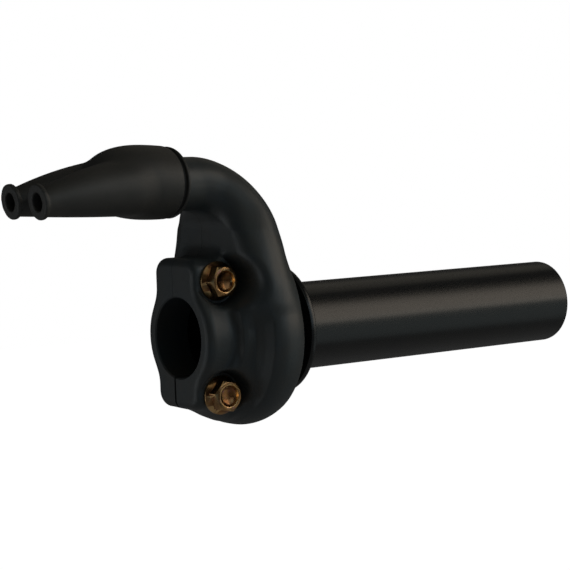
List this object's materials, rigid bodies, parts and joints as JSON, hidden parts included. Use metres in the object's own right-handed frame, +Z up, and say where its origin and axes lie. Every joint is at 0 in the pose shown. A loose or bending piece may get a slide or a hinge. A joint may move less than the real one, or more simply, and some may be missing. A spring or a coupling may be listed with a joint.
{
  "type": "motorcycle throttle grip",
  "caption": "Push-pull twist throttle for a handlebar: split clamp housing with a cable elbow, turning grip tube with cable drum, and a twin-outlet rubber cable boot.",
  "frame": {"origin": "centre of the handlebar bore, at the inboard face of the clamp", "axes": "+X along the handlebar towards the tube's free end (outboard), +Z up the cable neck, +Y forward, away from the rider and from the bolt heads"},
  "size_m": [0.1852, 0.0518, 0.079],
  "materials": {
    "painted_casting": "satin black paint on a die casting",
    "zinc_plated_steel": "yellow chromated zinc on steel, satin",
    "plain_steel": "ground",
    "natural_acetal": "turned",
    "bare_aluminium": "machined",
    "black_nylon": "moulded, satin",
    "black_rubber": "moulded, matte"
  },
  "bodies": {
    "housing": {"rear_housing": "painted_casting", "front_housing": "painted_casting", "upper_clamp_bolt": "zinc_plated_steel", "lower_clamp_bolt": "zinc_plated_steel", "locating_dowel": "plain_steel", "roller_pin": "plain_steel", "roller_spacer": "plain_steel", "cable_stop": "bare_aluminium", "cable_boot": "black_rubber"},
    "tube": {"throttle_tube": "black_nylon"},
    "pull_roller": {"pull_cable_roller": "natural_acetal"},
    "return_roller": {"return_cable_roller": "natural_acetal"}
  },
  "joints": [
    {"name": "throttle_turn", "type": "hinge", "parent": "housing", "child": "tube", "pos_m": [0, 0, 0], "axis": [1, 0, 0], "range_deg": [0, 75]},
    {"name": "pull_roller_spin", "type": "hinge", "parent": "housing", "child": "pull_roller", "pos_m": [0.01389, 0, 0.03829], "axis": [0, 1, 0], "range_deg": [0, 302]},
    {"name": "return_roller_spin", "type": "hinge", "parent": "housing", "child": "return_roller", "pos_m": [0.01389, 0, 0.03829], "axis": [0, 1, 0], "range_deg": [-302, 0]}
  ],
  "couplings": [
    {"joint": "pull_roller_spin", "follows": "throttle_turn", "ratio": 4},
    {"joint": "return_roller_spin", "follows": "throttle_turn", "ratio": -4}
  ]
}
